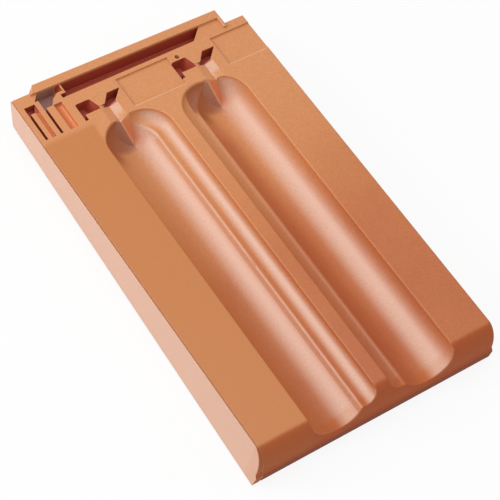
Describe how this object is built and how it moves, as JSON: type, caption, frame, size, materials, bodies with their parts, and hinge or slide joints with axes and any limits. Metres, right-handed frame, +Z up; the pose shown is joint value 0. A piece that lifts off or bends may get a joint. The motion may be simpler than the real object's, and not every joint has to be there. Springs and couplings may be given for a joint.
{
  "type": "clay roof tile",
  "caption": "Left verge roof tile of pressed clay, with a flat strip and side flap, parallel troughs with round heads, a lap edge, a rounded foot nose and a grooved head lock.",
  "frame": {"origin": "middle of the tile's outline, on the plane that it lies on", "axes": "+X across the roof from the verge flap to the lap edge, +Y up the roof from the foot nose to the head rim, +Z up out of the weather face"},
  "size_m": [0.2545, 0.433, 0.046],
  "materials": {
    "fired_clay": "matt fired natural red clay"
  },
  "bodies": {
    "root": {"roof_tile": "fired_clay"}
  },
  "joints": []
}
